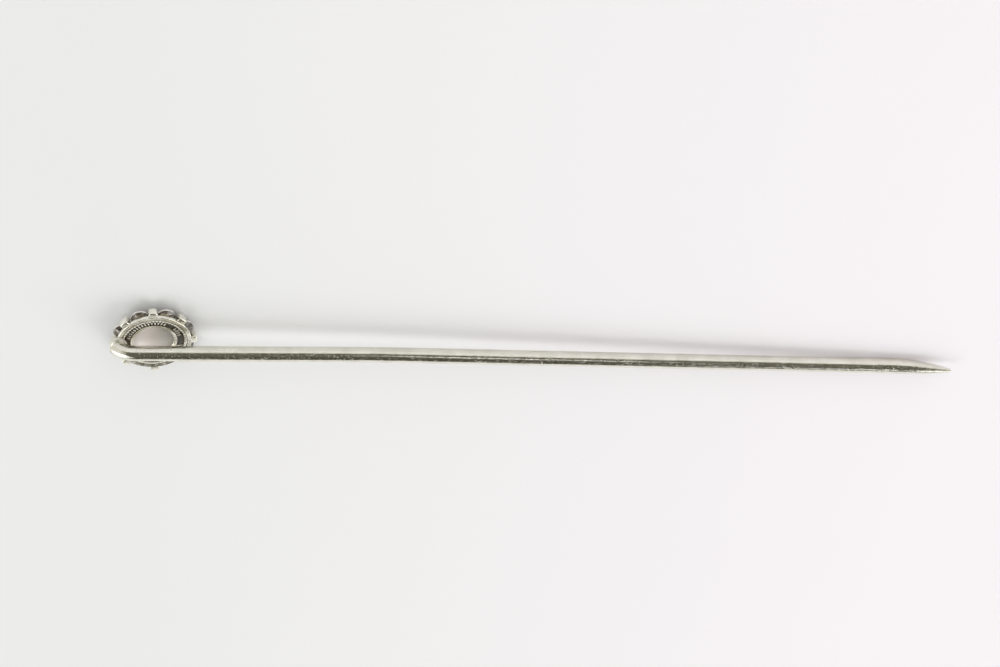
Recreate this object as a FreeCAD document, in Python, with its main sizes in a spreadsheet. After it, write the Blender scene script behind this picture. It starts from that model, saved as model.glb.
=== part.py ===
import FreeCAD, Part
import math
import os
import Sketcher

# A jewelled stick pin, lying face down on a table as it does when it is laid aside.
#
# Head frame, in which every piece is drawn: the origin is the centre of the back ring's
# rear face, +Z leaves the back of the head, -Z is its jewelled front, and the pin's point
# lies toward +X. Claw 1 stands on the +X axis, nearest the point, and the others follow
# it every 45 degrees, with the halo stones half a step between them.
#
# Finished frame: the whole pin is leaned until the front claw and the shoulder of the
# point both rest on the table, Z = 0, and its box is centred on the Z axis.

CLAW_COUNT = 8
CLAW_STEP = 360.0 / CLAW_COUNT

# Distances under this count as nothing.
CLOSE = 1e-6

# The lean is looked for between level and this many degrees, and found this closely.
STEEPEST_LEAN = 20.0
LEAN_ERROR = 1e-3

# name of the cell, size in mm (or degrees where it says so), what it is
DIMENSIONS = [
    ("wire_radius", 0.545, "radius of the pin wire"),
    ("wire_lift", 1.00, "wire axis above the ring's rear face, at the head's centre"),
    ("wire_lean", 5.7, "degrees by which the wire climbs away from the head"),
    ("wire_reach", 57.0, "head's centre to the point, along the wire"),
    ("kink_start", 13.7, "head's centre to the start of a slight bend, made by use"),
    ("kink_bend", 150.0, "radius of that bend, at the wire's axis"),
    ("kink_turn", 1.5, "degrees through which it turns the wire aside, toward -Y"),
    ("point_length", 3.9, "length of the ground point"),
    ("belly_distance", 2.3, "start of the point to its belly, where it still swells"),
    ("belly_radius", 0.39, "radius of the point at its belly"),
    ("belly_offset", 0.16, "how far the belly lies off the wire's axis"),
    ("point_radius", 0.12, "radius left at the very tip"),
    ("point_offset", 0.32, "how far off the wire's axis the tip is ground"),
    ("heel_start", 1.38, "head's centre to the start of the bend at the heel"),
    ("heel_bend", 2.00, "radius of that bend, at the wire's axis"),
    ("heel_turn", 42.0, "degrees through which the heel bends toward the ring"),
    ("heel_foot", 0.08, "straight foot after the bend"),
    ("ring_outer", 2.62, "outer radius of the back ring"),
    ("ring_inner", 2.14, "inner radius of the back ring"),
    ("ring_depth", 0.22, "thickness of the back ring, front to back"),
    ("ring_round", 0.10, "rounding of the ring's rear edges"),
    ("plate_outer", 2.46, "outer radius of the pierced gallery plate"),
    ("plate_front", 0.46, "depth of the plate's front face"),
    ("seat_radius", 0.50, "radius of the hole behind each halo stone"),
    ("grain_radius", 0.24, "radius of the grains raised between the stones"),
    ("grain_circle", 1.97, "distance of the grains from the head's axis"),
    ("grain_depth", 0.54, "depth of the middle of each grain"),
    ("claw_root", 2.38, "inner face of a claw, from the head's axis"),
    ("claw_reach", 3.04, "outer face of a claw, from the head's axis"),
    ("claw_lip", 2.80, "outer edge of a claw's front, where it has curled in"),
    ("claw_back", 0.00, "depth at which a claw starts"),
    ("claw_waist", 0.55, "depth at which a claw begins to curl in"),
    ("claw_front", 0.90, "depth of a claw's front"),
    ("claw_width", 0.66, "width of a claw"),
    ("claw_round", 0.14, "rounding of a claw's corners at the back"),
    ("tip_round", 0.16, "rounding of a claw's front"),
    ("stone_circle", 2.34, "distance of the halo stones from the head's axis"),
    ("stone_radius", 0.64, "girdle radius of a halo stone"),
    ("stone_table", 0.36, "radius of a halo stone's table"),
    ("culet_depth", 0.24, "depth of a halo stone's culet"),
    ("girdle_depth", 0.50, "depth of the back edge of the girdle"),
    ("girdle_height", 0.04, "height of the girdle"),
    ("table_depth", 0.74, "depth of a halo stone's table"),
    ("collet_outer", 1.64, "outer radius of the centre collet"),
    ("collet_bore", 1.50, "bore of the collet behind its bearing"),
    ("bearing_bore", 1.40, "bore through the bearing and the front lip"),
    ("collet_back", 0.14, "depth of the collet's rear edge"),
    ("bearing_back", 0.24, "depth of the back of the bearing"),
    ("collet_front", 0.86, "depth of the collet's front edge"),
    ("opal_back", 0.30, "depth of the centre stone's flat back"),
    ("opal_edge", 0.70, "depth at which the centre stone's dome begins"),
    ("opal_front", 1.00, "depth of the top of the dome"),
    ("solder_long", 0.62, "half length of the solder at the heel"),
    ("solder_wide", 0.80, "half width of the solder at the heel"),
    ("solder_high", 0.34, "half height of the solder at the heel"),
    ("solder_circle", 2.50, "distance of the solder from the head's axis"),
    ("file_width", 3.0, "width and length of the flat the file leaves under the heel"),
    ("file_height", 2.0, "depth to which the heel is filed away under the ring's rear face"),
]


def open_document():
    doc = FreeCAD.newDocument("stick_pin")
    sheet = doc.addObject("Spreadsheet::Sheet", "dims")
    for row, (name, size, meaning) in enumerate(DIMENSIONS, start=1):
        sheet.set("A%d" % row, name)
        sheet.set("B%d" % row, str(size))
        sheet.set("C%d" % row, meaning)
        sheet.setAlias("B%d" % row, name)
    doc.recompute()
    return doc


def value(doc, expression):
    """What an expression that uses the sheet comes to."""
    return float(doc.getObject("dims").evalExpression(expression))


def turned(axis, degrees):
    return FreeCAD.Placement(FreeCAD.Vector(0, 0, 0), FreeCAD.Rotation(FreeCAD.Vector(*axis), degrees))


def primitive(doc, kind, name, across="0", up="0", **sizes):
    """A Part primitive whose sizes, X and Z are bound to the sheet."""
    item = doc.addObject(kind, name)
    for size, expression in sizes.items():
        item.setExpression(size, expression)
    item.setExpression("Placement.Base.x", across)
    item.setExpression("Placement.Base.z", up)
    return item


def cylinder(doc, name, radius, front, back, across="0"):
    """A cylinder about the head's axis, or beside it, between two depths."""
    height = "(%s) - (%s)" % (front, back)
    return primitive(
        doc, "Part::Cylinder", name, across=across, up="-(%s)" % front, Radius=radius, Height=height
    )


def cut(doc, name, base, tool):
    item = doc.addObject("Part::Cut", name)
    item.Base = base
    item.Tool = tool
    return item


def fuse(doc, name, shapes):
    item = doc.addObject("Part::MultiFuse", name)
    item.Shapes = shapes
    return item


def origin_plane(body, role):
    for feature in body.Origin.OriginFeatures:
        if feature.Role == role:
            return feature
    raise ValueError("no origin plane called " + role)


def sketch_on(body, name, role, offset=None):
    sketch = body.newObject("Sketcher::SketchObject", name)
    sketch.AttachmentSupport = [(origin_plane(body, role), "")]
    sketch.MapMode = "FlatFace"
    if offset:
        sketch.setExpression("AttachmentOffset.Base.z", offset)
    return sketch


def fix_distance(doc, sketch, kind, element, end, expression):
    """Hold one end of a sketch element at a distance from the sketch's origin."""
    distance = Sketcher.Constraint(kind, -1, 1, element, end, value(doc, expression))
    number = sketch.addConstraint(distance)
    sketch.setExpression("Constraints[%d]" % number, expression)


def fix_point(doc, sketch, element, end, across, up):
    fix_distance(doc, sketch, "DistanceX", element, end, across)
    fix_distance(doc, sketch, "DistanceY", element, end, up)


def polygon(doc, body, name, corners):
    """A closed sketch of straight edges on the XZ plane, from corners given as expressions."""
    sketch = sketch_on(body, name, "XZ_Plane")
    points = [FreeCAD.Vector(value(doc, across), value(doc, up), 0) for across, up in corners]
    for start, end in zip(points, points[1:] + points[:1]):
        sketch.addGeometry(Part.LineSegment(start, end), False)
    for edge in range(len(corners)):
        following = (edge + 1) % len(corners)
        sketch.addConstraint(Sketcher.Constraint("Coincident", edge, 2, following, 1))
    for edge, (across, up) in enumerate(corners):
        fix_point(doc, sketch, edge, 1, across, up)
    return sketch


def circle(doc, body, name, offset, radius, up="0", aside=None, turn=None):
    """A round section across the body's own X axis, or moved aside and turned about Z with it."""
    sketch = sketch_on(body, name, "YZ_Plane", offset)
    if turn:
        sketch.setExpression("AttachmentOffset.Base.x", aside)
        sketch.setExpression("AttachmentOffset.Rotation.Axis.y", "1")
        sketch.setExpression("AttachmentOffset.Rotation.Axis.z", "0")
        sketch.setExpression("AttachmentOffset.Rotation.Angle", turn)
    centre = FreeCAD.Vector(0, value(doc, up), 0)
    sketch.addGeometry(Part.Circle(centre, FreeCAD.Vector(0, 0, 1), value(doc, radius)), False)
    fix_point(doc, sketch, 0, 3, "0", up)
    number = sketch.addConstraint(Sketcher.Constraint("Radius", 0, value(doc, radius)))
    sketch.setExpression("Constraints[%d]" % number, radius)
    return sketch


def revolve(doc, name, corners, axis_at="0"):
    """A body of revolution about a line parallel to Z, from half of its outline."""
    body = doc.addObject("PartDesign::Body", name)
    sketch = polygon(doc, body, name + "_outline", corners)
    axis = sketch.addGeometry(Part.LineSegment(FreeCAD.Vector(0, 0, 0), FreeCAD.Vector(0, 1, 0)), True)
    fix_point(doc, sketch, axis, 1, axis_at, "0")
    fix_point(doc, sketch, axis, 2, axis_at, "1")
    spin = body.newObject("PartDesign::Revolution", name + "_turning")
    spin.Profile = sketch
    spin.ReferenceAxis = (sketch, ["Axis0"])
    spin.Angle = 360
    doc.recompute()
    return body


def round_edges(doc, body, name, radius, wanted):
    """Round those edges of a body whose middle point passes a test."""
    base = body.Tip
    names = []
    for number, edge in enumerate(base.Shape.Edges, start=1):
        if wanted(edge.valueAt((edge.FirstParameter + edge.LastParameter) / 2)):
            names.append("Edge%d" % number)
    fillet = body.newObject("PartDesign::Fillet", name)
    fillet.Base = (base, names)
    fillet.setExpression("Radius", radius)
    doc.recompute()


def make_halo_stones(doc):
    """Eight small round stones: culet behind, girdle, then a bevel up to a flat table."""
    corners = [
        ("dims.stone_circle", "-dims.culet_depth"),
        ("dims.stone_circle + dims.stone_radius", "-dims.girdle_depth"),
        ("dims.stone_circle + dims.stone_radius", "-dims.girdle_depth - dims.girdle_height"),
        ("dims.stone_circle + dims.stone_table", "-dims.table_depth"),
        ("dims.stone_circle", "-dims.table_depth"),
    ]
    stones = []
    for number in range(1, CLAW_COUNT + 1):
        stone = revolve(doc, "cut_stone_%d" % number, corners, axis_at="dims.stone_circle")
        stone.Placement = turned((0, 0, 1), CLAW_STEP * (number - 0.5))
        stones.append(stone)
    return stones


def make_centre_stone(doc):
    """A round cabochon: a drum whose front is trimmed by a large sphere to a low dome."""
    rise = "(dims.opal_front - dims.opal_edge)"
    dome_radius = "(dims.collet_bore ^ 2 + %s ^ 2) / (2 * %s)" % (rise, rise)
    drum = cylinder(doc, "opal_drum", "dims.collet_bore", "dims.opal_front", "dims.opal_back")
    dome = primitive(
        doc, "Part::Sphere", "opal_dome", up="-dims.opal_front + " + dome_radius, Radius=dome_radius
    )
    stone = doc.addObject("Part::MultiCommon", "cabochon")
    stone.Shapes = [drum, dome]
    return stone


def make_centre_collet(doc, centre_stone):
    """A short tube with a bearing inside, its front lip pressed over the stone's edge."""
    tube = cylinder(doc, "collet_tube", "dims.collet_outer", "dims.collet_front", "dims.collet_back")
    through = cylinder(
        doc, "collet_through", "dims.bearing_bore", "dims.collet_front + 1", "dims.collet_back - 1"
    )
    recess = cylinder(
        doc, "collet_recess", "dims.collet_bore", "dims.bearing_back", "dims.collet_back - 1"
    )
    return cut(doc, "collet", tube, fuse(doc, "collet_tool", [through, recess, centre_stone]))


def make_back_ring(doc):
    """The flat ring at the back of the head, with its rear edges rounded."""
    corners = [
        ("dims.ring_inner", "0"),
        ("dims.ring_outer", "0"),
        ("dims.ring_outer", "-dims.ring_depth"),
        ("dims.ring_inner", "-dims.ring_depth"),
    ]
    ring = revolve(doc, "ring", corners)
    round_edges(doc, ring, "ring_rounding", "dims.ring_round", lambda middle: abs(middle.z) < CLOSE)
    return ring


def make_gallery_plate(doc, stones):
    """The plate that carries the stones: a hole behind each and a grain between each two."""
    disc = cylinder(doc, "plate_disc", "dims.plate_outer", "dims.plate_front", "dims.ring_depth")
    middle = cylinder(
        doc, "plate_middle", "dims.collet_outer", "dims.plate_front + 1", "dims.ring_depth - 1"
    )
    raised = [disc]
    removed = [middle] + stones
    for number in range(1, CLAW_COUNT + 1):
        grain = primitive(doc, "Part::Sphere", "grain_%d" % number, Radius="dims.grain_radius")
        turn = CLAW_STEP * (number - 1)
        grain.setExpression("Placement.Base.x", "dims.grain_circle * cos(%g deg)" % turn)
        grain.setExpression("Placement.Base.y", "dims.grain_circle * sin(%g deg)" % turn)
        grain.setExpression("Placement.Base.z", "-dims.grain_depth")
        raised.append(grain)
        hole = cylinder(
            doc, "seat_%d" % number, "dims.seat_radius", "dims.plate_front + 1", "dims.ring_depth - 1"
        )
        turn = CLAW_STEP * (number - 0.5)
        hole.setExpression("Placement.Base.x", "dims.stone_circle * cos(%g deg)" % turn)
        hole.setExpression("Placement.Base.y", "dims.stone_circle * sin(%g deg)" % turn)
        removed.append(hole)
    return cut(doc, "plate", fuse(doc, "plate_raised", raised), fuse(doc, "plate_removed", removed))


def make_claw_blank(doc, number):
    """A bent strip: it leaves the ring's edge, runs forward and curls in over two stones."""
    corners = [
        ("dims.claw_root", "-dims.claw_back"),
        ("dims.claw_reach", "-dims.claw_back"),
        ("dims.claw_reach", "-dims.claw_waist"),
        ("dims.claw_lip", "-dims.claw_front"),
        ("dims.claw_root", "-dims.claw_front"),
    ]
    name = "claw_blank_%d" % number
    body = doc.addObject("PartDesign::Body", name)
    sketch = polygon(doc, body, name + "_outline", corners)
    pad = body.newObject("PartDesign::Pad", name + "_width")
    pad.Profile = sketch
    pad.SideType = "Symmetric"
    pad.setExpression("Length", "dims.claw_width")
    doc.recompute()
    front = -value(doc, "dims.claw_front")
    bend_limit = -value(doc, "dims.claw_waist") - CLOSE
    outer = value(doc, "(dims.claw_root + dims.claw_lip) / 2")
    round_edges(
        doc, body, name + "_tip", "dims.tip_round",
        lambda middle: abs(middle.z - front) < CLOSE and abs(middle.y) < CLOSE,
    )
    round_edges(
        doc, body, name + "_bend", "dims.claw_round",
        lambda middle: abs(middle.y) < CLOSE and middle.x > outer and middle.z > bend_limit,
    )
    return body


def make_claws(doc, seated):
    """Eight claws round the head, each notched for whatever it is seated on."""
    claws = []
    for number in range(1, CLAW_COUNT + 1):
        blank = make_claw_blank(doc, number)
        blank.Placement = turned((0, 0, 1), CLAW_STEP * (number - 1))
        claws.append(cut(doc, "bent_claw_%d" % number, blank, seated))
    return claws


def make_heel(doc, body):
    """The end of the wire that curves down to the ring."""
    path = sketch_on(body, "heel_path", "XZ_Plane")
    bend = value(doc, "dims.heel_bend")
    turn = math.radians(value(doc, "dims.heel_turn"))
    foot = value(doc, "dims.heel_foot")
    centre = FreeCAD.Vector(0, -bend, 0)
    knee = FreeCAD.Vector(-bend * math.sin(turn), bend * math.cos(turn) - bend, 0)
    sole = knee + FreeCAD.Vector(-math.cos(turn), -math.sin(turn), 0) * foot
    round_part = Part.Circle(centre, FreeCAD.Vector(0, 0, 1), bend)
    path.addGeometry(Part.ArcOfCircle(round_part, math.pi / 2, math.pi / 2 + turn), False)
    path.addGeometry(Part.LineSegment(knee, sole), False)
    path.addConstraint(Sketcher.Constraint("Coincident", 0, 2, 1, 1))
    fix_point(doc, path, 0, 3, "0", "-dims.heel_bend")
    fix_point(doc, path, 0, 1, "0", "0")
    knee_x = "-dims.heel_bend * sin(dims.heel_turn * 1 deg)"
    knee_z = "dims.heel_bend * (cos(dims.heel_turn * 1 deg) - 1)"
    fix_distance(doc, path, "DistanceX", 1, 1, knee_x)
    foot_x = "-dims.heel_foot * cos(dims.heel_turn * 1 deg)"
    foot_z = "-dims.heel_foot * sin(dims.heel_turn * 1 deg)"
    fix_point(doc, path, 1, 2, "%s + %s" % (knee_x, foot_x), "%s + %s" % (knee_z, foot_z))
    heel = body.newObject("PartDesign::AdditivePipe", "wire_heel")
    heel.Profile = circle(doc, body, "heel_section", "0", "dims.wire_radius")
    heel.Spine = (path, ["Edge1", "Edge2"])
    doc.recompute()


def make_kink(doc, body, kink_at):
    """The slight sideways bend, from which the wire runs straight again."""
    path = sketch_on(body, "kink_path", "XY_Plane")
    bend = value(doc, "dims.kink_bend")
    turn = math.radians(value(doc, "dims.kink_turn"))
    centre = FreeCAD.Vector(value(doc, kink_at), -bend, 0)
    round_part = Part.Circle(centre, FreeCAD.Vector(0, 0, 1), bend)
    path.addGeometry(Part.ArcOfCircle(round_part, math.pi / 2 - turn, math.pi / 2), False)
    fix_point(doc, path, 0, 3, kink_at, "-dims.kink_bend")
    fix_point(doc, path, 0, 2, kink_at, "0")
    kink_end_x = "%s + dims.kink_bend * sin(dims.kink_turn * 1 deg)" % kink_at
    fix_distance(doc, path, "DistanceX", 0, 1, kink_end_x)
    kink = body.newObject("PartDesign::AdditivePipe", "wire_kink")
    kink.Profile = circle(doc, body, "kink_section", kink_at, "dims.wire_radius")
    kink.Spine = (path, ["Edge1"])
    doc.recompute()


def make_wire(doc):
    """The round wire, drawn along its own X axis from the bend at its heel.

    The heel curves down to the ring, a slight kink turns the wire aside, and the far end is
    ground to an off-centre point.
    """
    body = doc.addObject("PartDesign::Body", "wire_blank")
    section = circle(doc, body, "wire_section", "0", "dims.wire_radius")
    near_run = body.newObject("PartDesign::Pad", "wire_near_run")
    near_run.Profile = section
    kink_at = "(dims.heel_start + dims.kink_start)"
    near_run.setExpression("Length", kink_at)
    doc.recompute()
    make_heel(doc, body)
    make_kink(doc, body, kink_at)

    kink_length = "(dims.kink_bend * dims.kink_turn * pi / 180)"
    far_length = "(dims.wire_reach - dims.kink_start - dims.point_length - %s)" % kink_length

    def beyond_kink(name, distance, radius, up="0"):
        """A section at a distance past the end of the kink, square to the wire there."""
        along = "%s + dims.kink_bend * sin(dims.kink_turn * 1 deg) + (%s) * cos(dims.kink_turn * 1 deg)"
        aside = "-dims.kink_bend * (1 - cos(dims.kink_turn * 1 deg)) - (%s) * sin(dims.kink_turn * 1 deg)"
        return circle(
            doc, body, name, along % (kink_at, distance), radius,
            up=up, aside=aside % distance, turn="-dims.kink_turn * 1 deg",
        )

    far_run = body.newObject("PartDesign::Pad", "wire_far_run")
    far_run.Profile = beyond_kink("far_section", "0", "dims.wire_radius")
    far_run.setExpression("Length", far_length)
    doc.recompute()
    point = body.newObject("PartDesign::AdditiveLoft", "wire_point")
    point.Profile = beyond_kink("point_start", far_length, "dims.wire_radius")
    belly_at = far_length + " + dims.belly_distance"
    tip_at = far_length + " + dims.point_length"
    point.Sections = [
        beyond_kink("point_belly", belly_at, "dims.belly_radius", "dims.belly_offset"),
        beyond_kink("point_end", tip_at, "dims.point_radius", "dims.point_offset"),
    ]
    doc.recompute()

    body.setExpression("Placement.Base.x", "-dims.heel_start * cos(dims.wire_lean * 1 deg)")
    body.setExpression(
        "Placement.Base.z", "dims.wire_lift - dims.heel_start * sin(dims.wire_lean * 1 deg)"
    )
    body.setExpression("Placement.Rotation.Axis.y", "1")
    body.setExpression("Placement.Rotation.Axis.z", "0")
    body.setExpression("Placement.Rotation.Angle", "-dims.wire_lean * 1 deg")
    return body


def file_heel(doc, wire):
    """The heel's foot is filed flat where it stands on the ring's rear face."""
    file_block = doc.addObject("Part::Box", "heel_file")
    file_block.setExpression("Length", "dims.file_width")
    file_block.setExpression("Width", "dims.file_width")
    file_block.setExpression("Height", "dims.file_height")
    file_block.setExpression("Placement.Base.x", "-dims.solder_circle - dims.file_width / 2")
    file_block.setExpression("Placement.Base.y", "-dims.file_width / 2")
    file_block.setExpression("Placement.Base.z", "-dims.file_height")
    return cut(doc, "filed_wire", wire, file_block)


def make_solder(doc, wire, claw):
    """The solder that has run round the heel: a flat drop less all that it touches.

    It lies on the ring and over its outer edge, and doesn't run inside the ring.
    """
    drop = primitive(
        doc, "Part::Ellipsoid", "solder_drop", across="-dims.solder_circle",
        Radius1="dims.solder_high", Radius2="dims.solder_long", Radius3="dims.solder_wide",
    )
    ring_space = cylinder(doc, "solder_ring_space", "dims.ring_outer", "dims.ring_depth", "0")
    plate_space = cylinder(
        doc, "solder_plate_space", "dims.plate_outer", "dims.plate_front", "dims.ring_depth"
    )
    neighbours = fuse(doc, "solder_neighbours", [wire, claw, ring_space, plate_space])
    return cut(doc, "solder", drop, neighbours)


def leaned(shape, placement):
    moved = shape.copy()
    moved.Placement = placement.multiply(shape.Placement)
    return moved


def lowest(shapes, placement):
    return min(leaned(shape, placement).optimalBoundingBox().ZMin for shape in shapes)


def resting_place(head, wire, everything):
    """The lean and the shift that put the pin on the table, centred on the Z axis.

    The lean is halved down to the one at which head and wire touch the table together.
    """
    least = 0.0
    most = STEEPEST_LEAN
    while most - least > LEAN_ERROR:
        lean = turned((0, 1, 0), (least + most) / 2)
        if lowest(head, lean) < lowest([wire], lean):
            least = (least + most) / 2
        else:
            most = (least + most) / 2
    lean = turned((0, 1, 0), least)
    boxes = [leaned(shape, lean).optimalBoundingBox() for shape in everything]
    middle_x = (min(box.XMin for box in boxes) + max(box.XMax for box in boxes)) / 2
    middle_y = (min(box.YMin for box in boxes) + max(box.YMax for box in boxes)) / 2
    floor = min(box.ZMin for box in boxes)
    return FreeCAD.Placement(FreeCAD.Vector(-middle_x, -middle_y, -floor), lean.Rotation)


def check_document(doc):
    for item in doc.Objects:
        if "Invalid" in item.State or "Error" in item.State:
            raise RuntimeError("%s did not compute: %s" % (item.Name, item.State))


def check_piece(piece):
    if piece.Shape.isNull() or not piece.Shape.isValid():
        raise RuntimeError(piece.Label + " has no valid shape")
    if len(piece.Shape.Solids) != 1:
        raise RuntimeError("%s has %d solids" % (piece.Label, len(piece.Shape.Solids)))


def main():
    doc = open_document()
    stones = make_halo_stones(doc)
    cabochon = make_centre_stone(doc)
    collet = make_centre_collet(doc, cabochon)
    ring = make_back_ring(doc)
    plate = make_gallery_plate(doc, stones)
    claws = make_claws(doc, fuse(doc, "claw_seat", [ring, plate] + stones))
    wire = file_heel(doc, make_wire(doc))
    heel_claw = claws[CLAW_COUNT // 2]
    solder = make_solder(doc, wire, heel_claw)
    doc.recompute()
    check_document(doc)

    sources = {
        "pin_wire": wire,
        "heel_solder": solder,
        "back_ring": ring,
        "gallery_plate": plate,
        "centre_collet": collet,
        "centre_stone": cabochon,
    }
    for number, (claw, stone) in enumerate(zip(claws, stones), start=1):
        sources["claw_%d" % number] = claw
        sources["halo_stone_%d" % number] = stone

    everything = [source.Shape for source in sources.values()]
    head = [claws[0].Shape, cabochon.Shape]
    resting = resting_place(head, wire.Shape, everything)
    print("head frame rests at", resting)
    for name, source in sources.items():
        piece = doc.addObject("Part::Compound", name)
        piece.Label = name
        piece.Links = [source]
        piece.Placement = resting
    doc.recompute()
    check_document(doc)

    os.makedirs("parts", exist_ok=True)
    for name in sources:
        piece = doc.getObject(name)
        check_piece(piece)
        piece.Shape.exportStep("parts/%s.step" % piece.Label)
        print("%-16s %10.4f mm3" % (name, piece.Shape.Volume))


main()
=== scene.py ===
"""A jewelled stick pin lying face down on a pale table: its looks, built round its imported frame.

Head frame, in millimetres: the origin is the centre of the back ring's rear face, +Z leaves
the back of the head, -Z is its jewelled front, and the pin's point lies toward +X. Claws
stand every 45 degrees from the +X axis, with the halo stones half a step between them.
"""
import math
import random

import bmesh
import bpy
import numpy as np
from mathutils import Matrix, Quaternion, Vector


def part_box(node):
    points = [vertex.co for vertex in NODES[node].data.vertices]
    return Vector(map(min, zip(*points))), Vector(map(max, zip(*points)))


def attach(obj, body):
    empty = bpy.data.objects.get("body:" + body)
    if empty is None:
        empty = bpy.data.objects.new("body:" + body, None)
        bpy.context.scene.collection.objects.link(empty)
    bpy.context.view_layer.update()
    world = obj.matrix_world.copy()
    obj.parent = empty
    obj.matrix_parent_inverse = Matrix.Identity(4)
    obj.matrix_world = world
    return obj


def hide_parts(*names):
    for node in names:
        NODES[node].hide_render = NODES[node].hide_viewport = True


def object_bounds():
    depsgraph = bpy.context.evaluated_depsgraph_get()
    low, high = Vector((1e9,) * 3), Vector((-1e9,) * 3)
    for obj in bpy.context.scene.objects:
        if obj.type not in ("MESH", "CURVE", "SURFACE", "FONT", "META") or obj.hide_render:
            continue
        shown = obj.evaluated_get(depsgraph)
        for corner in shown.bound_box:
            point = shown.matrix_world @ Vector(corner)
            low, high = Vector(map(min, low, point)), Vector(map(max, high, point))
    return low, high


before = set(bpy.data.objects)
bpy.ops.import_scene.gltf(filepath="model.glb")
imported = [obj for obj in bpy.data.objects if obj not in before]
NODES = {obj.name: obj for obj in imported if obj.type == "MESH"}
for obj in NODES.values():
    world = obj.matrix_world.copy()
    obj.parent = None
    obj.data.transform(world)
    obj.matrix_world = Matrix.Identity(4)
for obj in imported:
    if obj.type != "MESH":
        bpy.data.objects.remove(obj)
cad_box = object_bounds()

MM = 0.001
CLAW_COUNT = 8
CLAW_STEP = math.tau / CLAW_COUNT


# ---------------------------------------------------------------- the frame's own places

def node_points(name):
    """A node's vertices as rows of row-frame metres."""
    return np.array([vertex.co for vertex in NODES[name].data.vertices], float)


def find_head_frame():
    """The matrix that takes head-frame millimetres to row-frame metres."""
    ring = node_points("back_ring")
    spread = np.linalg.svd(ring - ring.mean(axis=0), full_matrices=False)[2]
    out_of_back = Vector(spread[2])
    if out_of_back.z < 0:
        out_of_back.negate()
    sideways = Vector((0, 1, 0))
    toward_point = sideways.cross(out_of_back).normalized()
    turn = Matrix((toward_point, sideways, out_of_back))
    along = np.array(turn) @ ring.T
    middle = (along.max(axis=1) + along.min(axis=1)) / 2
    rear = along.max(axis=1)[2]
    centre = turn.transposed() @ Vector((middle[0], middle[1], rear))
    return Matrix.Translation(centre) @ turn.transposed().to_4x4() @ Matrix.Scale(MM, 4)


HEAD = find_head_frame()


def in_head(name):
    """A node's points in the head frame, in millimetres."""
    points = node_points(name)
    whole = np.c_[points, np.ones(len(points))]
    return (np.array(HEAD.inverted()) @ whole.T).T[:, :3]


def reach(name):
    """Least and greatest distance from the head's axis, and least and greatest depth."""
    points = in_head(name)
    radii = np.hypot(points[:, 0], points[:, 1])
    return radii.min(), radii.max(), -points[:, 2].max(), -points[:, 2].min()


# ---------------------------------------------------------------- mesh helpers

def polar(radius, depth, angle):
    """The head-frame point at a radius, a depth in front of the ring's rear face, and an angle."""
    return Vector((radius * math.cos(angle), radius * math.sin(angle), -depth))


def add_object(name, mesh_data, material):
    """A new visible piece, with the given material in its slot."""
    piece = bpy.data.objects.new(name, mesh_data)
    bpy.context.scene.collection.objects.link(piece)
    mesh_data.materials.append(material)
    return piece


def mesh_from(name, work, matrix, smooth=True):
    """A mesh from a bmesh drawn in a frame that the matrix takes to metres; frees the bmesh."""
    bmesh.ops.recalc_face_normals(work, faces=work.faces)
    mesh_data = bpy.data.meshes.new(name)
    work.to_mesh(mesh_data)
    work.free()
    mesh_data.transform(matrix)
    for polygon in mesh_data.polygons:
        polygon.use_smooth = smooth
    return mesh_data


def join_rings(work, rings):
    """Faces between each ring of vertices and the next; all rings have the same count."""
    for ring, following in zip(rings, rings[1:]):
        for index in range(len(ring)):
            after = (index + 1) % len(ring)
            work.faces.new((ring[index], ring[after], following[after], following[index]))


def loft(work, sections):
    """A closed solid through rings of points."""
    rings = [[work.verts.new(point) for point in section] for section in sections]
    join_rings(work, rings)
    work.faces.new(rings[0])
    work.faces.new(rings[-1])


def turn_about_axis(work, profile, steps):
    """A closed outline of (radius, depth) pairs turned once about the head's axis."""
    rings = []
    for step in range(steps):
        angle = math.tau * step / steps
        ring = [polar(radius, depth, angle) for radius, depth in profile]
        rings.append([work.verts.new(spot) for spot in ring])
    join_rings(work, rings + rings[:1])


def round_off(piece, levels):
    """Subdivide a coarse piece into a smooth one."""
    rounding = piece.modifiers.new("rounding", "SUBSURF")
    rounding.levels = levels
    rounding.render_levels = levels


# ---------------------------------------------------------------- materials

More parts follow.
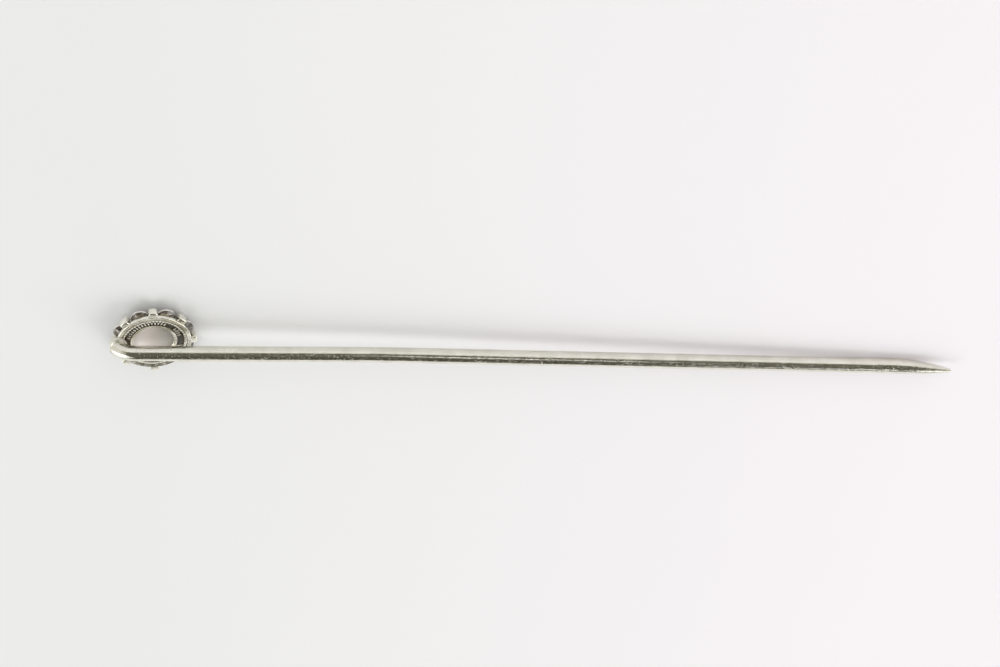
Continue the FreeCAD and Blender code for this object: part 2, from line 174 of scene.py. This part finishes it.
class Nodes:
    """A short way to wire up one material."""

    def __init__(self, name):
        self.material = bpy.data.materials.new(name)
        self.material.use_nodes = True
        self.tree = self.material.node_tree
        self.tree.nodes.clear()
        self.output = self.tree.nodes.new("ShaderNodeOutputMaterial")
        self.shader = self.tree.nodes.new("ShaderNodeBsdfPrincipled")
        self.tree.links.new(self.shader.outputs[0], self.output.inputs["Surface"])
        self.place = self.tree.nodes.new("ShaderNodeTexCoord").outputs["Object"]

    def add(self, kind, **settings):
        """A node of the given kind, with its own settings."""
        node = self.tree.nodes.new(kind)
        for key, value in settings.items():
            setattr(node, key, value)
        return node

    def link(self, source, target):
        self.tree.links.new(source, target)

    def along_row(self):
        """The distance along the row's X axis, in metres."""
        parts = self.add("ShaderNodeSeparateXYZ")
        self.link(self.place, parts.inputs[0])
        return parts.outputs["X"]

    def stretched(self, per_mm, turn=(0, 0, 0)):
        """Object coordinates scaled to a number of units per millimetre, after a turn."""
        node = self.add("ShaderNodeMapping")
        node.inputs["Rotation"].default_value = turn
        node.inputs["Scale"].default_value = [count / MM for count in per_mm]
        self.link(self.place, node.inputs["Vector"])
        return node.outputs["Vector"]

    def cloud(self, per_mm, detail=3.0, roughness=0.55, turn=(0, 0, 0)):
        """Soft noise between 0 and 1, with the given number of features per millimetre."""
        node = self.add("ShaderNodeTexNoise")
        node.inputs["Scale"].default_value = 1.0
        node.inputs["Detail"].default_value = detail
        node.inputs["Roughness"].default_value = roughness
        self.link(self.stretched(per_mm, turn), node.inputs["Vector"])
        return node.outputs["Fac"]

    def span(self, source, from_low, from_high, to_low, to_high):
        """The source moved from one range to another, and held at its ends."""
        node = self.add("ShaderNodeMapRange", clamp=True)
        node.inputs["From Min"].default_value = from_low
        node.inputs["From Max"].default_value = from_high
        node.inputs["To Min"].default_value = to_low
        node.inputs["To Max"].default_value = to_high
        self.link(source, node.inputs["Value"])
        return node.outputs["Result"]

    def band(self, source, low, high):
        """0 below low, 1 above high, and a ramp between."""
        return self.span(source, low, high, 0.0, 1.0)

    def blend(self, amount, first, second):
        """A mix of two colours, each a colour socket or three numbers."""
        node = self.add("ShaderNodeMix", data_type="RGBA")
        self.link(amount, node.inputs["Factor"])
        for key, value in (("A", first), ("B", second)):
            socket = [item for item in node.inputs if item.name == key and item.type == "RGBA"][0]
            if hasattr(value, "node"):
                self.link(value, socket)
            else:
                socket.default_value = (*value, 1.0)
        return [item for item in node.outputs if item.type == "RGBA"][0]

    def combine(self, kind, first, second):
        """A maths operation on two values, each a socket or a number."""
        node = self.add("ShaderNodeMath", operation=kind)
        for socket, value in zip(node.inputs, (first, second)):
            if hasattr(value, "node"):
                self.link(value, socket)
            else:
                socket.default_value = value
        return node.outputs[0]

    def weighted(self, *parts):
        """The sum of (source, weight) pairs."""
        scaled = [self.combine("MULTIPLY", source, weight) for source, weight in parts]
        total = scaled[0]
        for part in scaled[1:]:
            total = self.combine("ADD", total, part)
        return total

    def bump(self, height, depth_mm):
        """Relief on the surface, with a height of 1 standing depth_mm high."""
        node = self.add("ShaderNodeBump")
        node.inputs["Strength"].default_value = 1.0
        node.inputs["Distance"].default_value = depth_mm * MM
        self.link(height, node.inputs["Height"])
        self.link(node.outputs["Normal"], self.shader.inputs["Normal"])

    def set(self, **values):
        """Plain values on the shader's own sockets, named in lower case with underscores."""
        for key, value in values.items():
            socket_name = key.replace("_", " ").title().replace("Ior", "IOR")
            self.shader.inputs[socket_name].default_value = value


PALE_METAL = (0.82, 0.80, 0.725)
WORN_METAL = (0.72, 0.70, 0.62)
# dark colour of tight gaps: partly tarnish, partly painted shade
TARNISH_AND_SHADE = (0.11, 0.085, 0.045)
# how much of the dark gap colour, partly tarnish and partly painted shade, shows in the tightest
# gap
TARNISH_AND_SHADE_COVER = 0.9
# how much each kind of mark adds to the relief; a negative mark is cut in
DRAWN_LINE_RELIEF = 0.35
DENT_RELIEF = 1.6
PIT_RELIEF = 0.30
SCRATCH_RELIEF = -0.12
NICK_RELIEF = -1.1
# how much rougher the metal is inside a scratch
SCRATCH_ROUGHNESS = 0.15
EVEN_LINES = (6, 6, 6)


def make_metal(name, roughness, relief_mm, along=(0.25, 14, 14), tarnish_and_shade_reach=0.0, tone_and_shade_scale=1.0):
    """White metal with drawn lines, stray scratches and soft dents; tight gaps are darkened,
    partly by tarnish and partly by painted shade.

    The drawn lines follow the long direction of along, in features per millimetre, the gap
    darkening of tarnish and painted shade reaches that many millimetres out of a gap, and the
    colour scale sets the metal's own tone and, where it is made small, paints shade.
    """
    metal = Nodes(name)
    metal.set(metallic=1.0)
    drawn_lines = metal.cloud(along, detail=4.0, roughness=0.7)
    dents = metal.cloud((1.6, 1.6, 1.6), detail=2.0)
    pits = metal.cloud((7, 7, 7), detail=5.0, roughness=0.65)
    stray_lines = metal.cloud((0.5, 16, 16), detail=2.0, turn=(0.4, 0.7, 1.1))
    scratches = metal.band(stray_lines, 0.62, 0.70)
    nicks = metal.band(metal.cloud((7, 10, 10), detail=2.0), 0.60, 0.80)
    wear = metal.band(metal.cloud((0.8, 0.8, 0.8), detail=4.0), 0.38, 0.66)
    # the colour scale gives the metal's own tone, and as a small value paints shade
    pale = [part * tone_and_shade_scale for part in PALE_METAL]
    worn = [part * tone_and_shade_scale for part in WORN_METAL]
    colour = metal.blend(wear, pale, worn)
    if tarnish_and_shade_reach:
        # tight gaps darkened through ambient occlusion: partly tarnish, partly painted shade
        gap = metal.add("ShaderNodeAmbientOcclusion", samples=8)
        gap.inputs["Distance"].default_value = tarnish_and_shade_reach * MM
        closed = metal.span(gap.outputs["AO"], 0.25, 0.75, 1.0, 0.0)
        covered = metal.combine("MULTIPLY", closed, TARNISH_AND_SHADE_COVER)
        colour = metal.blend(covered, colour, TARNISH_AND_SHADE)
    metal.link(colour, metal.shader.inputs["Base Color"])
    pitted = metal.combine("ADD", metal.span(pits, 0.35, 0.7, -0.05, 0.10), roughness)
    scratched = metal.combine("MULTIPLY", scratches, SCRATCH_ROUGHNESS)
    rough = metal.combine("ADD", pitted, scratched)
    metal.link(rough, metal.shader.inputs["Roughness"])
    height = metal.weighted(
        (drawn_lines, DRAWN_LINE_RELIEF),
        (dents, DENT_RELIEF),
        (pits, PIT_RELIEF),
        (scratches, SCRATCH_RELIEF),
        (nicks, NICK_RELIEF),
    )
    metal.bump(height, relief_mm)
    return metal.material


MILKY_PALE = (0.93, 0.86, 0.83)
MILKY_DEEP = (0.78, 0.73, 0.69)
# painted shade darkens the stone toward the pin's point, from this share of its width on
MILKY_PAINTED_SHADE = (0.27, 0.255, 0.22)
PAINTED_SHADE_FROM = 0.2


def make_milky_stone(name):
    """A cloudy, slightly warm stone that lets a little light through, with painted shade on its
    side toward the point.
    """
    stone = Nodes(name)
    stone.set(
        roughness=0.16,
        coat_weight=0.6,
        coat_roughness=0.06,
        subsurface_weight=0.45,
        subsurface_radius=(1.0, 0.8, 0.65),
        subsurface_scale=0.6 * MM,
        ior=1.46,
    )
    clouds = stone.band(stone.cloud((0.55, 0.55, 0.8), detail=4.0), 0.35, 0.68)
    cloudy = stone.blend(clouds, MILKY_PALE, MILKY_DEEP)
    # painted shade: the colour darkens across the stone toward the pin's point
    low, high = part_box("centre_stone")
    painted_shade_start = low.x + (high.x - low.x) * PAINTED_SHADE_FROM
    painted_shade_amount = stone.band(stone.along_row(), painted_shade_start, high.x)
    stone.link(stone.blend(painted_shade_amount, cloudy, MILKY_PAINTED_SHADE), stone.shader.inputs["Base Color"])
    stone.bump(stone.cloud((9, 9, 9), detail=3.0), 0.004)
    return stone.material


def make_clear_stone(name, first, second):
    """A bright clear stone, clouded between two tints, with fine marks left by polishing."""
    stone = Nodes(name)
    stone.set(transmission_weight=0.90, ior=1.95)
    blush = stone.band(stone.cloud((0.5, 0.5, 0.5), detail=2.0), 0.35, 0.65)
    stone.link(stone.blend(blush, first, second), stone.shader.inputs["Base Color"])
    polish_marks = stone.span(stone.cloud((12, 12, 12)), 0.3, 0.7, 0.0, 0.06)
    stone.link(polish_marks, stone.shader.inputs["Roughness"])
    return stone.material


def make_frosted_edge(name):
    """The unpolished, slightly grainy girdle of a cut stone."""
    edge = Nodes(name)
    edge.set(roughness=0.6, ior=1.8)
    grain = edge.band(edge.cloud((9, 9, 9), detail=4.0), 0.35, 0.65)
    colour = edge.blend(grain, (0.92, 0.90, 0.88), (0.55, 0.50, 0.47))
    edge.link(colour, edge.shader.inputs["Base Color"])
    edge.bump(edge.cloud((14, 14, 14), detail=3.0), 0.02)
    return edge.material


# painted light: the paper's colour brightens from the head's end toward the point's end
PAPER_SHADED_BY_HEAD = (0.85, 0.86, 0.87)
PAPER_LIT_BY_POINT = (0.965, 0.93, 0.985)
PAPER_PATCH = (0.6, 0.6, 0.6)


def make_table(name):
    """Matt pale paper with painted light, a little brighter by the point, and a faint unevenness.
    """
    paper = Nodes(name)
    paper.set(roughness=0.85)
    painted_light_sweep = paper.band(paper.along_row(), cad_box[0].x, cad_box[1].x)
    tone = paper.blend(painted_light_sweep, PAPER_SHADED_BY_HEAD, PAPER_LIT_BY_POINT)
    patches = paper.span(paper.cloud((0.012, 0.012, 0.012)), 0.35, 0.65, 0.0, 0.035)
    paper.link(paper.blend(patches, tone, PAPER_PATCH), paper.shader.inputs["Base Color"])
    paper.bump(paper.cloud((1.2, 1.2, 1.2), detail=4.0), 0.004)
    return paper.material


wire_metal = make_metal("drawn_wire_metal", 0.13, 0.010)
setting_metal = make_metal(
    "setting_metal", 0.17, 0.010, EVEN_LINES, tarnish_and_shade_reach=0.3, tone_and_shade_scale=1.13
)
# painted shade: the gallery plate's colour is scaled far down and its gaps darkened widely,
# standing in for the shade behind the stones
plate_metal_painted_shade = make_metal("plate_metal_painted_shade", 0.34, 0.070, EVEN_LINES, tarnish_and_shade_reach=0.7, tone_and_shade_scale=0.15)
fluted_metal = make_metal("fluted_metal", 0.22, 0.010, EVEN_LINES, tarnish_and_shade_reach=0.3, tone_and_shade_scale=0.9)
solder_metal = make_metal("solder_metal", 0.42, 0.050, along=(5, 5, 5), tarnish_and_shade_reach=0.3)
milky_stone = make_milky_stone("milky_stone")
clear_stone = make_clear_stone("clear_stone", (0.97, 0.95, 0.93), (0.93, 0.87, 0.85))
# painted shade: dark brown tints on the halo stones' pavilions stand in for the shade behind them
painted_shade_pavilion = make_clear_stone("painted_shade_pavilion", (0.62, 0.54, 0.44), (0.33, 0.27, 0.20))
frosted_edge = make_frosted_edge("frosted_edge")
table_paper = make_table("table_paper")

for node_name, material in (
    ("pin_wire", wire_metal),
    ("heel_solder", solder_metal),
    ("back_ring", setting_metal),
    ("gallery_plate", plate_metal_painted_shade),
    ("centre_collet", setting_metal),
    ("centre_stone", milky_stone),
):
    NODES[node_name].data.materials.clear()
    NODES[node_name].data.materials.append(material)


# ---------------------------------------------------------------- halo stones

# how far the visible girdle spreads to each side of the designed one, in mm
GIRDLE_EXTRA = 0.035
# facets round the table, and corners round the girdle
TABLE_SIDES = 8
GIRDLE_SIDES = 2 * TABLE_SIDES
# the crown's corners: out from halfway between table and girdle, and forward from the girdle
CROWN_SPREAD = 1.02
CROWN_RISE = 0.62
# a point this near to the girdle's full width, as a share, lies on the girdle
GIRDLE_SHARE = 0.98
# a point within this many mm of the table's depth lies on the table
TABLE_TOLERANCE = 0.01


def stone_ring(work, radius, depth, count, offset=0.0):
    """Vertices of a regular polygon about the stone's own axis."""
    return [
        work.verts.new(polar(radius, depth, math.tau * (index + offset) / count))
        for index in range(count)
    ]


def make_halo_stone(number, rng):
    """A small old cut: table, eight stars, a crown, a frosted girdle and a pavilion in painted
    shade.
    """
    name = "halo_stone_%d" % number
    points = in_head(name)
    middle = (points.max(axis=0) + points.min(axis=0)) / 2
    circle = math.hypot(middle[0], middle[1])
    across = np.hypot(points[:, 0] - middle[0], points[:, 1] - middle[1])
    depths = -points[:, 2]
    culet, table = depths.min(), depths.max()
    girdle = across.max()
    widest = depths[across > girdle * GIRDLE_SHARE]
    girdle_back = widest.min() - GIRDLE_EXTRA
    girdle_front = widest.max() + GIRDLE_EXTRA
    table_radius = across[depths > table - TABLE_TOLERANCE].max()
    crown_radius = (girdle + table_radius) / 2 * CROWN_SPREAD
    crown_depth = girdle_front + (table - girdle_front) * CROWN_RISE

    work = bmesh.new()
    tip = work.verts.new((0, 0, -culet))
    back_rim = stone_ring(work, girdle, girdle_back, GIRDLE_SIDES)
    front_rim = stone_ring(work, girdle, girdle_front, GIRDLE_SIDES)
    crown = stone_ring(work, crown_radius, crown_depth, TABLE_SIDES, offset=0.5)
    top = stone_ring(work, table_radius, table, TABLE_SIDES)
    for index in range(GIRDLE_SIDES):
        after = (index + 1) % GIRDLE_SIDES
        pavilion = work.faces.new((tip, back_rim[index], back_rim[after]))
        # the pavilion takes the painted-shade material
        pavilion.material_index = 2
        edge = work.faces.new(
            (back_rim[index], front_rim[index], front_rim[after], back_rim[after])
        )
        edge.material_index = 1
    for index in range(TABLE_SIDES):
        after = (index + 1) % TABLE_SIDES
        near, between, far = (front_rim[(2 * index + step) % GIRDLE_SIDES] for step in range(3))
        work.faces.new((near, between, crown[index]))
        work.faces.new((between, far, crown[index]))
        work.faces.new((crown[index], top[after], top[index]))
        work.faces.new((near, crown[index], top[index], crown[index - 1]))
    work.faces.new(top)

    spin = Matrix.Rotation(rng.uniform(0, math.tau), 4, "Z")
    to_place = Matrix.Rotation(CLAW_STEP * (number - 0.5), 4, "Z")
    seat = to_place @ Matrix.Translation((circle, 0, 0))
    mesh_data = mesh_from("cut_" + name, work, HEAD @ seat @ spin, smooth=False)
    stone = add_object("cut_" + name, mesh_data, clear_stone)
    mesh_data.materials.append(frosted_edge)
    mesh_data.materials.append(painted_shade_pavilion)
    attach(stone, "root")
    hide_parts(name)


# ---------------------------------------------------------------- claws

# how square a claw's cross-section is: 2 would be an ellipse
BOXINESS = 4.5
CLAW_SECTION_STEPS = 16
# how much thicker a claw is than half its reach past the ring, in mm
CLAW_SINKING = 0.06
# how far the visible tip stops short of the designed front, in mm
TIP_CLEARANCE = 0.01


def boxy_section(centre, sideways, outward):
    """Points round a squared-off oval, with half widths given as vectors."""
    section = []
    for step in range(CLAW_SECTION_STEPS):
        turn = math.tau * step / CLAW_SECTION_STEPS
        squarer = abs(math.cos(turn)) ** BOXINESS + abs(math.sin(turn)) ** BOXINESS
        flat = squarer ** (-1 / BOXINESS)
        spot = centre + sideways * flat * math.cos(turn) + outward * flat * math.sin(turn)
        section.append(spot)
    return section


def make_claw(number):
    """A post that leaves the ring, swells, and curls in to a rounded bead over two stones."""
    name = "claw_%d" % number
    angle = CLAW_STEP * (number - 1)
    points = in_head(name)
    radial = points[:, 0] * math.cos(angle) + points[:, 1] * math.sin(angle)
    across = -points[:, 0] * math.sin(angle) + points[:, 1] * math.cos(angle)
    outer = radial.max()
    half_width = across.max()
    back, front = -points[:, 2].max(), -points[:, 2].min()
    deep = front - back
    lowest = front - TIP_CLEARANCE
    ring_radius = reach("back_ring")[1]
    thick = (outer - ring_radius) / 2 + CLAW_SINKING
    # distance in from the outer face, depth, half width and half thickness along the post
    stations = (
        (thick, back + deep * 0.02, half_width * 0.88, thick * 0.82),
        (thick, back + deep * 0.06, half_width * 1.02, thick),
        (thick, back + deep * 0.32, half_width * 0.98, thick),
        (thick * 1.04, back + deep * 0.54, half_width * 0.96, thick),
        (thick * 1.40, back + deep * 0.70, half_width * 0.96, thick * 0.84),
        (thick * 2.00, lowest - thick * 0.66, half_width * 0.92, thick * 0.66),
        (thick * 2.40, lowest - thick * 0.62, half_width * 0.62, thick * 0.42),
    )
    sideways = Vector((0, 1, 0))
    sections = []
    for index, (inward, depth, wide, half_thick) in enumerate(stations):
        before = stations[max(index - 1, 0)]
        after = stations[min(index + 1, len(stations) - 1)]
        ahead = Vector((before[0] - after[0], 0, before[1] - after[1])).normalized()
        outward = sideways.cross(ahead).normalized()
        centre = Vector((outer - inward, 0, -depth))
        sections.append(boxy_section(centre, sideways * wide, outward * half_thick))
    work = bmesh.new()
    loft(work, sections)
    spin = Matrix.Rotation(angle, 4, "Z")
    mesh_data = mesh_from("worn_" + name, work, HEAD @ spin)
    claw = add_object("worn_" + name, mesh_data, setting_metal)
    round_off(claw, levels=2)
    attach(claw, "root")
    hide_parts(name)


# ---------------------------------------------------------------- back ring, beading and fluting

RING_STEPS = 192
# edges of the ring that turn more sharply than this, in degrees, stay crisp
CRISP_TURN = 30
# half the height of every bead, in mm
BEAD_HEIGHT = 0.09
RING_BEADS = 60
FLUTES = 50
# where the fluting is lost, in degrees from the +X axis toward +Y
FLUTING_GAPS = ((0, 10), (42, 58), (172, 188), (340, 360))


def make_back_ring():
    """The back ring with its slightly dished rim, a scribed groove and a ledge for the beading."""
    inner, outer, back, front = reach("back_ring")
    profile = (
        (outer, front),
        (outer, back + 0.035),
        (outer - 0.010, back + 0.010),
        (outer - 0.030, back),
        (outer - 0.270, back + 0.015),
        (outer - 0.280, back + 0.085),
        (outer - 0.310, back + 0.085),
        (outer - 0.320, back + 0.040),
        (inner + 0.020, back + 0.040),
        (inner, back + 0.060),
        (inner, front),
    )
    work = bmesh.new()
    turn_about_axis(work, profile, RING_STEPS)
    mesh_data = mesh_from("dished_ring", work, HEAD)
    mesh_data.set_sharp_from_angle(angle=math.radians(CRISP_TURN))
    ring = add_object("dished_ring", mesh_data, setting_metal)
    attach(ring, "root")
    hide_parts("back_ring")


def make_beading(name, material, circle, depth, along, across, count, gaps=()):
    """A row of small raised beads round the head's axis.

    Half of a bead is along long round the row, and across long radially, in mm. Each gap
    is a pair of angles in degrees, between which the beads are lost.
    """
    work = bmesh.new()
    for index in range(count):
        turn = math.tau * index / count
        if any(start <= math.degrees(turn) <= end for start, end in gaps):
            continue
        seat = Matrix.Translation(polar(circle, depth, turn))
        shape = Matrix.Rotation(turn, 4, "Z") @ Matrix.Diagonal((across, along, BEAD_HEIGHT, 1))
        bmesh.ops.create_icosphere(work, subdivisions=2, radius=1.0, matrix=seat @ shape)
    beading = add_object(name, mesh_from(name, work, HEAD), material)
    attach(beading, "root")


rng = random.Random(7)
for number in range(1, CLAW_COUNT + 1):
    make_halo_stone(number, rng)
    make_claw(number)
make_back_ring()
collet_outer = reach("centre_collet")[1]
ring_inner, _, ring_back, ring_front = reach("back_ring")
make_beading(
    "ring_beading",
    setting_metal,
    circle=ring_inner + 0.08,
    depth=ring_back + 0.05,
    along=0.086,
    across=0.085,
    count=RING_BEADS,
)
make_beading(
    "collet_fluting",
    fluted_metal,
    circle=collet_outer + 0.17,
    depth=ring_front - 0.02,
    along=0.080,
    across=0.16,
    count=FLUTES,
    gaps=FLUTING_GAPS,
)


# ---------------------------------------------------------------- table, light and camera

# half the width of the paper, in metres, and the squares along each side of its mesh
PAPER_REACH = 0.9
PAPER_SQUARES = 40
# how far the paper lies under the pin, in mm
PAPER_GAP = 0.01


def make_stage():
    """A wide sheet of paper under the pin."""
    work = bmesh.new()
    bmesh.ops.create_grid(
        work, x_segments=PAPER_SQUARES, y_segments=PAPER_SQUARES, size=PAPER_REACH
    )
    mesh_data = bpy.data.meshes.new("table")
    work.to_mesh(mesh_data)
    work.free()
    table = bpy.data.objects.new("table", mesh_data)
    table.location.z = cad_box[0].z - PAPER_GAP * MM
    bpy.context.scene.collection.objects.link(table)
    mesh_data.materials.append(table_paper)


def add_panel(name, direction, distance, width, height, radiance, tint=(1, 1, 1)):
    """A soft lamp that faces the middle of the pin, with its brightness given as radiance."""
    data = bpy.data.lights.new(name, "AREA")
    data.shape = "RECTANGLE"
    data.size = width
    data.size_y = height
    data.energy = radiance * math.pi * width * height
    data.color = tint
    lamp = bpy.data.objects.new(name, data)
    bpy.context.scene.collection.objects.link(lamp)
    away = Vector(direction).normalized()
    lamp.location = away * distance
    lamp.rotation_mode = "QUATERNION"
    lamp.rotation_quaternion = away.to_track_quat("Z", "Y")
    return lamp


# elevations in degrees between which each wall gives way to the dim ceiling
NEAR_WALL = (26.0, 32.0)
FAR_WALL = (39.5, 45.0)
WALL_LIGHT = 0.96
NEAR_CEILING_LIGHT = 0.125
FAR_CEILING_LIGHT = 0.075
# how far to the side, as a direction's X, the dim ceiling gives way to lit cloth
CEILING_SIDES = (0.36, 0.66)
SIDE_LIGHT = 0.82
# the far half of the room gives way to the near half between these values of a direction's Y
HALVES = (-0.25, 0.25)
# the room is warmer where it is dim
DIM_COLOUR = (1.0, 0.95, 0.72)
BRIGHT_COLOUR = (1.0, 0.995, 0.97)


def ramp(tree, source, ends, start=0.0, finish=1.0, smooth=True):
    """From start to finish while the source goes from one end to the other."""
    node = tree.nodes.new("ShaderNodeMapRange")
    node.interpolation_type = "SMOOTHSTEP" if smooth else "LINEAR"
    node.inputs["From Min"].default_value = ends[0]
    node.inputs["From Max"].default_value = ends[1]
    node.inputs["To Min"].default_value = start
    node.inputs["To Max"].default_value = finish
    tree.links.new(source, node.inputs["Value"])
    return node.outputs["Result"]


def wall_and_ceiling(tree, height, elevations, ceiling_light):
    """The light of one half of the room, by a direction's Z."""
    ends = [math.sin(math.radians(elevation)) for elevation in elevations]
    return ramp(tree, height, ends, WALL_LIGHT, ceiling_light)


def fade(tree, amount, first):
    """A mix node that starts at one value; its B input is left to be set or linked."""
    node = tree.nodes.new("ShaderNodeMix")
    tree.links.new(amount, node.inputs["Factor"])
    tree.links.new(first, node.inputs["A"])
    return node


def make_studio():
    """A pale room: bright low down, dim overhead, and lit again to both sides."""
    world = bpy.data.worlds.new("studio")
    world.use_nodes = True
    bpy.context.scene.world = world
    tree = world.node_tree
    tree.nodes.clear()
    output = tree.nodes.new("ShaderNodeOutputWorld")
    sky = tree.nodes.new("ShaderNodeBackground")
    tree.links.new(sky.outputs[0], output.inputs["Surface"])
    place = tree.nodes.new("ShaderNodeTexCoord")
    parts = tree.nodes.new("ShaderNodeSeparateXYZ")
    tree.links.new(place.outputs["Generated"], parts.inputs[0])

    near_half = ramp(tree, parts.outputs["Y"], HALVES, smooth=False)
    near = wall_and_ceiling(tree, parts.outputs["Z"], NEAR_WALL, NEAR_CEILING_LIGHT)
    far = wall_and_ceiling(tree, parts.outputs["Z"], FAR_WALL, FAR_CEILING_LIGHT)
    room = fade(tree, near_half, far)
    tree.links.new(near, room.inputs["B"])
    to_side = tree.nodes.new("ShaderNodeMath")
    to_side.operation = "ABSOLUTE"
    tree.links.new(parts.outputs["X"], to_side.inputs[0])
    beside = ramp(tree, to_side.outputs[0], CEILING_SIDES)
    whole = fade(tree, beside, room.outputs["Result"])
    whole.inputs["B"].default_value = SIDE_LIGHT

    colour = tree.nodes.new("ShaderNodeMix")
    colour.data_type = "RGBA"
    tree.links.new(whole.outputs["Result"], colour.inputs["Factor"])
    colour_ends = [socket for socket in colour.inputs if socket.type == "RGBA"]
    colour_ends[0].default_value = (*DIM_COLOUR, 1.0)
    colour_ends[1].default_value = (*BRIGHT_COLOUR, 1.0)
    blended = next(socket for socket in colour.outputs if socket.type == "RGBA")
    tree.links.new(blended, sky.inputs["Color"])
    tree.links.new(whole.outputs["Result"], sky.inputs["Strength"])


COOL_WHITE = (0.99, 0.995, 1)

make_stage()
make_studio()
add_panel(
    "lamp_point_side",
    direction=(1.0, -0.55, 0.95),
    distance=0.65,
    width=0.38,
    height=0.62,
    radiance=1.63,
    tint=COOL_WHITE,
)
add_panel(
    "lamp_head_side",
    direction=(-0.85, -0.45, 0.95),
    distance=0.65,
    width=0.38,
    height=0.55,
    radiance=1.83,
    tint=COOL_WHITE,
)
fill = add_panel(
    "lamp_fill",
    direction=(0.0, 1.0, 0.62),
    distance=1.0,
    width=1.1,
    height=1.1,
    radiance=1.16,
    tint=(0.985, 0.99, 1),
)
fill.visible_glossy = False
add_panel(
    "lamp_overhead",
    direction=(0.057, 0.182, 0.356),
    distance=0.404,
    width=0.048,
    height=0.06,
    radiance=1.7,
)

# where the camera stands round the pin, in degrees, and how it is rolled
CAMERA_AZIMUTH = 185.211
CAMERA_ELEVATION = 41.220
CAMERA_ROLL = -178.261
# its distance from the point that it faces, and that point, in mm
CAMERA_DISTANCE = 195.335
CAMERA_AIM = (-2.765, 2.251, 1.40)
LENS_MM = 100
SENSOR_MM = 36
# nearest and farthest distance shown, in metres
NEAREST_SHOWN = 0.01
FARTHEST_SHOWN = 10


def make_camera():
    """The camera at the angle from which the pin is shown."""
    azimuth = math.radians(CAMERA_AZIMUTH)
    elevation = math.radians(CAMERA_ELEVATION)
    back = Vector((
        math.sin(azimuth) * math.cos(elevation),
        -math.cos(azimuth) * math.cos(elevation),
        math.sin(elevation),
    ))
    data = bpy.data.cameras.new("camera")
    data.lens = LENS_MM
    data.sensor_width = SENSOR_MM
    data.clip_start = NEAREST_SHOWN
    data.clip_end = FARTHEST_SHOWN
    camera = bpy.data.objects.new("camera", data)
    bpy.context.scene.collection.objects.link(camera)
    camera.location = (Vector(CAMERA_AIM) + back * CAMERA_DISTANCE) * MM
    camera.rotation_mode = "QUATERNION"
    roll = Quaternion(back, -math.radians(CAMERA_ROLL))
    camera.rotation_quaternion = roll @ (-back).to_track_quat("-Z", "Y")
    bpy.context.scene.camera = camera


make_camera()
bpy.context.scene.view_settings.view_transform = "Standard"
